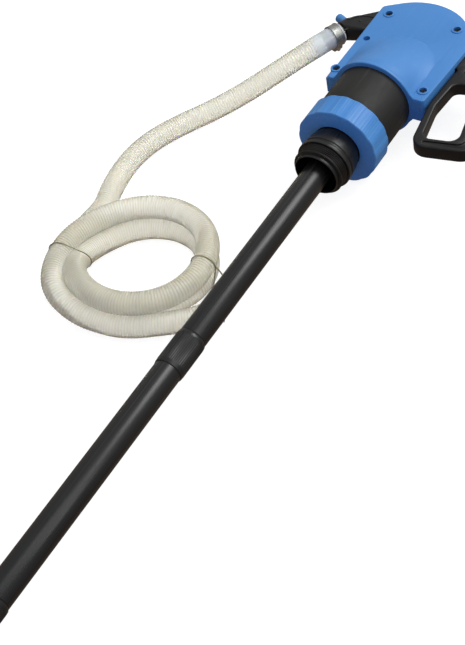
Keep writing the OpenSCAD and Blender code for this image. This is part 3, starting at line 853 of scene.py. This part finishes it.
# ---------------------------------------------------------------- barrel, ring nut, adapter
piece("barrel_body", turned(rounded_profile(
    [(13.4, -14), (20.5, -14), (20.5, 13.3), (45.6, 13.3), (45.6, 28.6), (44.6, 29.2),
     (44.6, 31.6), (45, 32.2), (45, 92), (41, 92), (41, 18.3), (9, 18.3), (9, 8.2), (13.4, 8.2)],
    0.4), 128), "pump", BARREL, "barrel")


NUT_R = 48.5
NUT_LOBES = 16
NUT_LINES = 96
NUT_LOBE = 0.8
NUT_LINE = 0.10


def nut_radius(r, y, a):
    """Broad lobes round the ring nut, and fine lengthwise lines on them."""
    if r < NUT_R - 2:
        return r
    lobe = 0.5 + 0.5 * math.cos(NUT_LOBES * a)
    fine = NUT_LINE * math.cos(NUT_LINES * a) - NUT_LINE if 1.5 < y < 29.5 else 0
    return r - NUT_LOBE * (1 - lobe ** 0.6) + fine


nut_rows = [(28.2, 0.6), (28.8, 0.0), (47.1, 0.0), (47.9, 0.35), (NUT_R, 1.1)]
nut_rows += [(NUT_R, y) for y in (1.6, 5, 10, 15, 20, 25, 29.4, 29.9)]
nut_rows += [(48.1, 30.7), (47.4, 31), (46.4, 31), (45.9, 30.5), (45.9, 5), (28.2, 5)]
piece("ring_nut_lobed", turned(nut_rows, 384, nut_radius), "ring_nut", NUT_BLUE_PAINTED_LIGHTER,
      "ring_nut", 40)


THREAD_R = 29.8
THREAD_PITCH = 2.309
THREAD_DEPTH = 1.35
THREAD_Y = (-42.4, -31.2)
NOTCH_Y = (-13.5, -3.5)


def inside(y, span):
    """1 within the span, with soft ends 1.2 long, and 0 outside it."""
    return smooth((span[1] - y) / 1.2) * smooth((y - span[0]) / 1.2)


def adapter_radius(r, y, a):
    """The bung thread's helix, and three groups of three short notches in the neck."""
    if THREAD_Y[0] < y < THREAD_Y[1] and r > 29:
        wave = abs(((y / THREAD_PITCH - a / (2 * math.pi)) % 1.0) * 2 - 1)
        return THREAD_R - THREAD_DEPTH * inside(y, THREAD_Y) * (1 - wave)
    if NOTCH_Y[0] < y < NOTCH_Y[1]:
        turn = math.degrees(a) % 120 - 78
        near = min(abs(turn + 7), abs(turn), abs(turn - 7))
        return r - 0.7 * (1 - smooth((near - 0.7) / 1.1)) * inside(y, NOTCH_Y)
    return r


# The rounded plate on top, all but its last corner, then the neck and the flange
adapter_rows = rounded_profile([(24.5, 10.3), (43.5, 10.3), (43.5, 5.3), (27.5, 5.3)], 0.3)[:-4]
adapter_rows += [(27.5, 5.3), (27.5, 0), (27.5, -0.6), (28.3, -2.4), (28.6, -3.4), (29.1, -4.6),
                 (29.6, -6), (30.1, -8), (30.6, -10), (30.9, -12), (31.1, -13.4), (31.3, -15),
                 (31.6, -18), (31.9, -21), (31.9, -21.8), (31.5, -22.4), (31.0, -22.8),
                 (30.9, -24.4), (31.3, -24.8), (32.0, -25.2), (32.5, -25.9), (32.5, -29.8),
                 (32.1, -30.4), (THREAD_R, -30.6)]
# The thread, and the plain lip below it
adapter_rows += [(THREAD_R, THREAD_Y[1] - 0.38 * i) for i in range(30)]
adapter_rows += [(THREAD_R, THREAD_Y[0]), (29.6, -42.9), (28.9, -43.4), (26.7, -43.6),
                 (26.4, -43.9), (26.4, -44.6), (26.4, -46.6), (26.2, -47.4), (25.7, -47.9),
                 (25.2, -47.9), (24.9, -47.3), (24.8, -45), (24.5, -43)]
piece("bung_adapter_threaded", turned(adapter_rows, 240, adapter_radius), "bung_adapter",
      BLACK, "bung_adapter", 38)

# ---------------------------------------------------------------- suction tube
SPIGOT = 22


def tube_section(top, low, spigot_low):
    """A length of tube from top to low, with a thinner spigot past each end."""
    bore, neck, outer = 11.5, 13.35, 15
    end, start = low - spigot_low, top + SPIGOT
    return turned(rounded_profile(
        [(bore, end), (neck, end), (neck, low), (outer, low, 0.7),
         (outer, top, 0.7), (neck, top), (neck, start), (bore, start)], 0.3), 96)


def coupling(y):
    """A coupling 45 long below y, with fine lengthwise ribs on its middle."""
    def ribs(r, q, a):
        if r > 15 and y - 39.5 < q < y - 5.5:
            return r - 0.42 * (0.5 + 0.5 * math.cos(44 * a)) ** 1.5
        return r
    rows = [(13.4, y - 45), (15.2, y - 45), (15.8, y - 44.4), (15.9, y - 43), (16.2, y - 40.2),
            (16.2, y - 39.6), (16.2, y - 39.2), (16.2, y - 22), (16.2, y - 5.8), (16.2, y - 5.4),
            (16.1, y - 4), (15.9, y - 1.6), (15.2, y - 0.5), (14.6, y), (13.4, y)]
    return turned(rows, 264, ribs)


for part, top, low, spigot in (("upper", -14, -302, SPIGOT), ("middle", -347, -630, SPIGOT),
                               ("lower", -675, -925, 15)):
    piece(part + "_suction_tube", tube_section(top, low, spigot), "pump", BLACK_TUBE,
          part + "_tube")
for part, top in (("upper", -302), ("lower", -630)):
    piece(part + "_tube_coupling", coupling(top), "pump", BLACK_TUBE,
          part + "_coupling")


def foot_radius(r, y, a):
    """Grip flutes round the foot valve's housing."""
    if r > 16.5 and -950 < y < -930:
        return r - 0.5 * (0.5 + 0.5 * math.cos(20 * a)) ** 2
    return r


piece("foot_valve_housing", turned(
    [(6, -954), (16.4, -954), (17, -953.4), (17, -950.5), (17, -949.5), (17, -940), (17, -931),
     (17, -929.5), (16.6, -927), (15.6, -925.2), (15, -925), (13.4, -925), (13.4, -940.5),
     (11.5, -940.5), (11.5, -948), (6, -950)], 160, foot_radius), "pump", BLACK,
    "foot_valve_body")

# ---------------------------------------------------------------- spout and vent plug
NECK = TAIL - ALONG * 24


def ball_points(c, r):
    """Points on a ball, for a hull with rounded corners."""
    out, n = [], 10
    for i in range(n + 1):
        b = math.pi * i / n
        for k in range(2 * n):
            a = math.pi * k / n
            out.append((c[0] + r * math.sin(b) * math.cos(a), c[1] + r * math.sin(b) * math.sin(a),
                        c[2] + r * math.cos(b)))
    return out


def hull_of(points):
    """The convex solid round the points."""
    bm = bmesh.new()
    for p in points:
        bm.verts.new(p)
    inner = bmesh.ops.convex_hull(bm, input=bm.verts)["geom_interior"]
    bmesh.ops.delete(bm, geom=[g for g in inner if isinstance(g, bmesh.types.BMVert)],
                     context="VERTS")
    bmesh.ops.recalc_face_normals(bm, faces=bm.faces)
    return bm


def duct(y0, x1):
    """The middle of the hidden elbow that leads from the barrel to the spout's neck."""
    x0, bend_r = -28, 13
    bend = [Vector((*p, 0)) for p in arc((x0 - bend_r, DUCT_Y - bend_r), bend_r, 0, 90, 9)]
    return [Vector((x0, y0, 0))] + bend + [Vector((x1, DUCT_Y, 0))]


def spout():
    """The bent spout: a hull from the head's wall to the neck, ribs, a barbed tail and bores."""
    points = []
    for z in (7, -7):
        for y in (188.5, 222.5):
            points += ball_points((-61, y, z), 2.2)
    for s, r in ((0.4, 11.2), (1.2, 12.0), (12.0, 12.0), (12.6, 11.4)):
        points += [around(NECK + ALONG * s, ACROSS, UP, r, 2 * math.pi * k / 40)
                   for k in range(40)]
    ridge = [(-59, 223, 0), (-72, 220.5, 0), (-84, 215.5, 0), (-93, 208.5, 0), (-98, 201, 0)]
    flank = [(-62, 210, 9.3), (-73, 207, 10.2), (-82, 201, 11.3), (-88.5, 192, 12.0)]
    lean = -ACROSS * 0.733 + UP * 0.68
    low = [TAIL + ALONG * s + lean * 12.2 for s in (-19, -15, -11.5, -8.4)]
    ribs = [sweep(spline(ridge, 6), 2.1, 12), sweep(spline(flank, 6), 1.3, 10),
            sweep(low, 1.25, 10)]
    mark = rod((-74.5, 196.3, 8), UP, 3.3, 1.9, 24, 0.8)
    tail = rod(TAIL - ALONG * 13, ALONG, 27, 9.8, 48, 0.4)
    barbs = [rod(TAIL + ALONG * s, ALONG, 3.6, 10.2, 44, 0.0, 9.6) for s in (-4, 3, 10)]
    body = fuse(hull_of(points), *ribs, mark, tail, *barbs, sweep(duct(98.1, -84), 10, 48))
    return cut(body, rod(TAIL - ALONG * 25, ALONG, 50, 8, 40), sweep(duct(97, -86.3), 8, 40),
               rod(NECK, ACROSS, 20, 3.55, 24))


piece("outlet_spout_body", spout(), "pump", BLACK, "outlet_spout", 35)


# The plug's stem, collar, groove, cap and dished top, as radius and distance from the neck
plug = [(3.5, 5), (3.5, 12.3), (5.1, 12.3), (5.5, 12.7), (5.5, 15), (5.2, 15.5), (5.2, 17),
        (5.5, 17.5), (5.5, 24), (5.1, 25), (4.3, 25.7), (2.8, 25.8), (2.4, 24.6), (0.05, 24.4),
        (0.05, 5)]
piece("vent_plug_cap", spun(plug, NECK, ACROSS, ALONG, 48), "vent_plug", BLUE,
      "vent_plug")

# ---------------------------------------------------------------- lever


def rounded(points):
    """An outline from [x, y, corner radius] points."""
    out, count, steps = [], len(points), 10
    for i in range(count):
        a, b, c = (Vector(points[j % count][:2]) for j in (i - 1, i, i + 1))
        r = points[i][2]
        u, v = (a - b).normalized(), (c - b).normalized()
        half = math.acos(max(-1, min(1, u.dot(v)))) / 2
        centre = b + (u + v).normalized() * (r / math.sin(half))
        p, q = b + u * (r / math.tan(half)) - centre, b + v * (r / math.tan(half)) - centre
        a0 = math.atan2(p.y, p.x)
        turn = math.atan2(q.y, q.x) - a0
        turn -= round(turn / (2 * math.pi)) * 2 * math.pi
        angles = [a0 + turn * k / steps for k in range(steps + 1)]
        out += [(centre.x + r * math.cos(a), centre.y + r * math.sin(a)) for a in angles]
    return out


# Outlines of the lever, its hand hole, and the shallow recesses in its web and grip
LEVER_TOP = 8.5
LEVER = [(51.5, 158.5, 10), (71.5, 158.5, 3), (69.6, 150, 60), (66.4, 96, 50), (76.2, 24.4, 17),
         (148.5, 39, 20), (118, 186.5, 34), (47.5, 186, 6)]
HAND = [(78.6, 134.6, 9), (75.2, 94, 40), (84.1, 41.8, 9), (122.8, 49.3, 12), (105.1, 140.6, 12)]
WEB = [(80, 150, 7), (109, 155.5, 7), (105, 177, 10), (81, 177, 7)]
GRIP = [(88, 31.5, 2.3), (141.5, 42.5, 10), (117.5, 158, 2), (113, 158, 1.8), (112.5, 140, 8),
        (132, 46.5, 9), (87, 37, 2.2)]


def offset(outline, d):
    """The outline moved outward by d."""
    n, out = len(outline), []
    area = sum(a[0] * b[1] - b[0] * a[1] for a, b in zip(outline, outline[1:] + outline[:1]))
    for i, p in enumerate(outline):
        p = Vector(p)
        u = (p - Vector(outline[i - 1])).normalized()
        v = (Vector(outline[(i + 1) % n]) - p).normalized()
        m = Vector((u.y + v.y, -u.x - v.x)).normalized() * (1 if area > 0 else -1)
        out.append(tuple(p + m * (d / max(0.5, abs(m.dot(Vector((u.y, -u.x))))))))
    return out


def stack(outline, levels):
    """A solid from the outline at several heights, each with its own offset."""
    outline = no_doubles(outline)
    return grid([[(x, y, z) for x, y in offset(outline, d)] for z, d in levels])


def mirrored(levels):
    """The levels' mirror image in z = 0, from the bottom up."""
    return [(-z, d) for z, d in levels[::-1]]


def quarter(r, out):
    """Levels of a quarter round up to the lever's face, inward for out = -1."""
    steps = 5
    angles = [math.pi / 2 * i / steps for i in range(steps + 1)]
    return [(LEVER_TOP - r * (1 - math.sin(a)), out * r * (1 - math.cos(a))) for a in angles]


def hollow(outline, bottom, r, lip):
    """Cutters for a shallow recess in both faces, with a rounded bottom and lip."""
    top = LEVER_TOP
    levels = [(bottom, -r), (bottom + r * 0.3, -r * 0.3), (bottom + r, 0.0), (top - lip, 0.0),
              (top - lip * 0.4, lip * 0.3), (top, lip), (top + 4, lip + 0.05)]
    return [stack(outline, levels), stack(outline, mirrored(levels))]


def lever():
    """The loop with its hand hole and recesses, and a hub with a pocket for the sector gear."""
    rim, hole = quarter(2.4, -1), quarter(2.6, 1) + [(LEVER_TOP + 4, 2.65)]
    body = stack(rounded(LEVER), mirrored(rim) + rim)
    body = cut(body, stack(rounded(HAND), mirrored(hole) + hole))
    cuts = hollow(rounded(WEB), 5, 0.8, 0.6) + hollow(rounded(GRIP), 6.6, 0.6, 0.5)
    hub = rod((*PIVOT, -LEVER_TOP), UP, 2 * LEVER_TOP, 14, 64, 0.6)
    body = fuse(cut(body, *cuts), hub)
    half = 5.1
    pocket = [rod((*PIVOT, -half), UP, 2 * half, 14.6, 64),
              block((PIVOT[0] - 60, PIVOT[1] - 30, -half), (PIVOT[0] + 5, PIVOT[1] + 30, half)),
              rod((*PIVOT, -12), UP, 24, 5, 48)]
    # Holes and counterbores of the two sector screws
    for a in (60, 300):
        x, y = PIVOT[0] + polar(9.5, a)[0], PIVOT[1] + polar(9.5, a)[1]
        pocket += [rod((x, y, -8.1), UP, 20, 2.05, 20), rod((x, y, 6.3), UP, 6, 3.3, 28)]
    return cut(body, *pocket)


piece("loop_lever", lever(), "lever_arm", BLACK, "lever", 35)

# ---------------------------------------------------------------- carried CAD nodes
FINISH = ((BLACK, "barrel_cap gland_nut foot_strainer"),
          (RUBBER, "cap_seal adapter_gasket inlet_valve_disc piston_seal piston_valve_ring"
                   " rod_seal spout_seal"),
          (NYLON, "inlet_valve_cage piston rack rack_guide sector_gear pivot_bushes"
                  " foot_valve_ball"),
          (STEEL, "valve_stop piston_rod rod_nut pivot_pin ball_stop_pin"),
          (SCREW, "sector_screws"))
for material, names in FINISH:
    for name in names.split():
        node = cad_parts[name]
        if not node.data.materials:
            node.data.materials.append(material)
        for i in range(len(node.data.materials)):
            node.data.materials[i] = material

# ---------------------------------------------------------------- stage


def floor_material():
    """A pale floor, lit through from below so that shadows on it stay faint."""
    m = Nodes("pale_floor", Roughness=0.8, Emission_Strength=0.86)
    m.shader.inputs["Emission Color"].default_value = (1.0, 1.0, 1.0, 1.0)
    m.shader.inputs["Specular IOR Level"].default_value = 0.0
    color = m.mix(m.span(m.noise(6, 3), 0.3, 0.7), (0.30, 0.30, 0.298), (0.33, 0.33, 0.328))
    return m.out(color)


FLOOR_HALF = 30.0
corners = [(x * FLOOR_HALF, y * FLOOR_HALF, CAD_BOX[0][2])
           for x, y in ((-1, -1), (1, -1), (1, 1), (-1, 1))]
floor_mesh = bpy.data.meshes.new("floor")
floor_mesh.from_pydata(corners, [], [(0, 1, 2, 3)])
floor = bpy.data.objects.new("floor", floor_mesh)
floor_mesh.materials.append(floor_material())
scene.collection.objects.link(floor)
floor.visible_diffuse = floor.visible_glossy = False


def studio():
    """Pale light from above and behind the head, a dim warm bounce from below."""
    world = bpy.data.worlds.new("studio")
    world.use_nodes = True
    tree = world.node_tree
    shade = tree.nodes["Background"]
    place = tree.nodes.new("ShaderNodeTexCoord")
    side = tree.nodes.new("ShaderNodeVectorMath")
    side.operation = "DOT_PRODUCT"
    side.inputs[1].default_value = (0.12, 0.42, 0.90)
    ramp = tree.nodes.new("ShaderNodeMapRange")
    ramp.interpolation_type = "SMOOTHSTEP"
    for key, v in (("From Min", -0.5), ("From Max", 0.85), ("To Min", 0.0), ("To Max", 1.0)):
        ramp.inputs[key].default_value = v
    mix = tree.nodes.new("ShaderNodeMix")
    mix.data_type = "RGBA"
    below, above = mix.inputs[6], mix.inputs[7]
    below.default_value = (0.38, 0.29, 0.22, 1)
    above.default_value = (0.98, 0.99, 1.0, 1)
    tree.links.new(place.outputs["Generated"], side.inputs[0])
    tree.links.new(side.outputs["Value"], ramp.inputs["Value"])
    tree.links.new(ramp.outputs["Result"], mix.inputs["Factor"])
    tree.links.new(mix.outputs[2], shade.inputs["Color"])
    shade.inputs["Strength"].default_value = 0.62
    scene.world = world


studio()


def softbox(name, place, target, width, height, power, color=(1, 1, 1)):
    """A rectangular lamp at place that faces target."""
    data = bpy.data.lights.new(name, "AREA")
    data.shape, data.size, data.size_y = "RECTANGLE", width, height
    data.energy, data.color = power, color
    ob = bpy.data.objects.new(name, data)
    ob.location = place
    ob.rotation_mode = "QUATERNION"
    ob.rotation_quaternion = (Vector(target) - Vector(place)).to_track_quat("-Z", "Y")
    scene.collection.objects.link(ob)
    return ob


middle = at(0, 0, 0)
softbox("key_softbox", middle + Vector((0.95, 1.5, 1.8)), middle, 1.3, 1.3, 38)
softbox("tube_softbox", middle + Vector((1.05, 0.0, 1.8)), middle + Vector((0, -0.2, 0)),
        0.36, 2.6, 10)
# A faint blue fill for the sides that face the foot, kept out of reflections
fill = softbox("foot_fill", middle + Vector((0.25, -1.25, 0.3)), middle, 0.5, 0.5, 2.6,
               (0.06, 0.28, 1.0))
fill.visible_glossy = fill.visible_transmission = False
scene.view_settings.view_transform = "Standard"
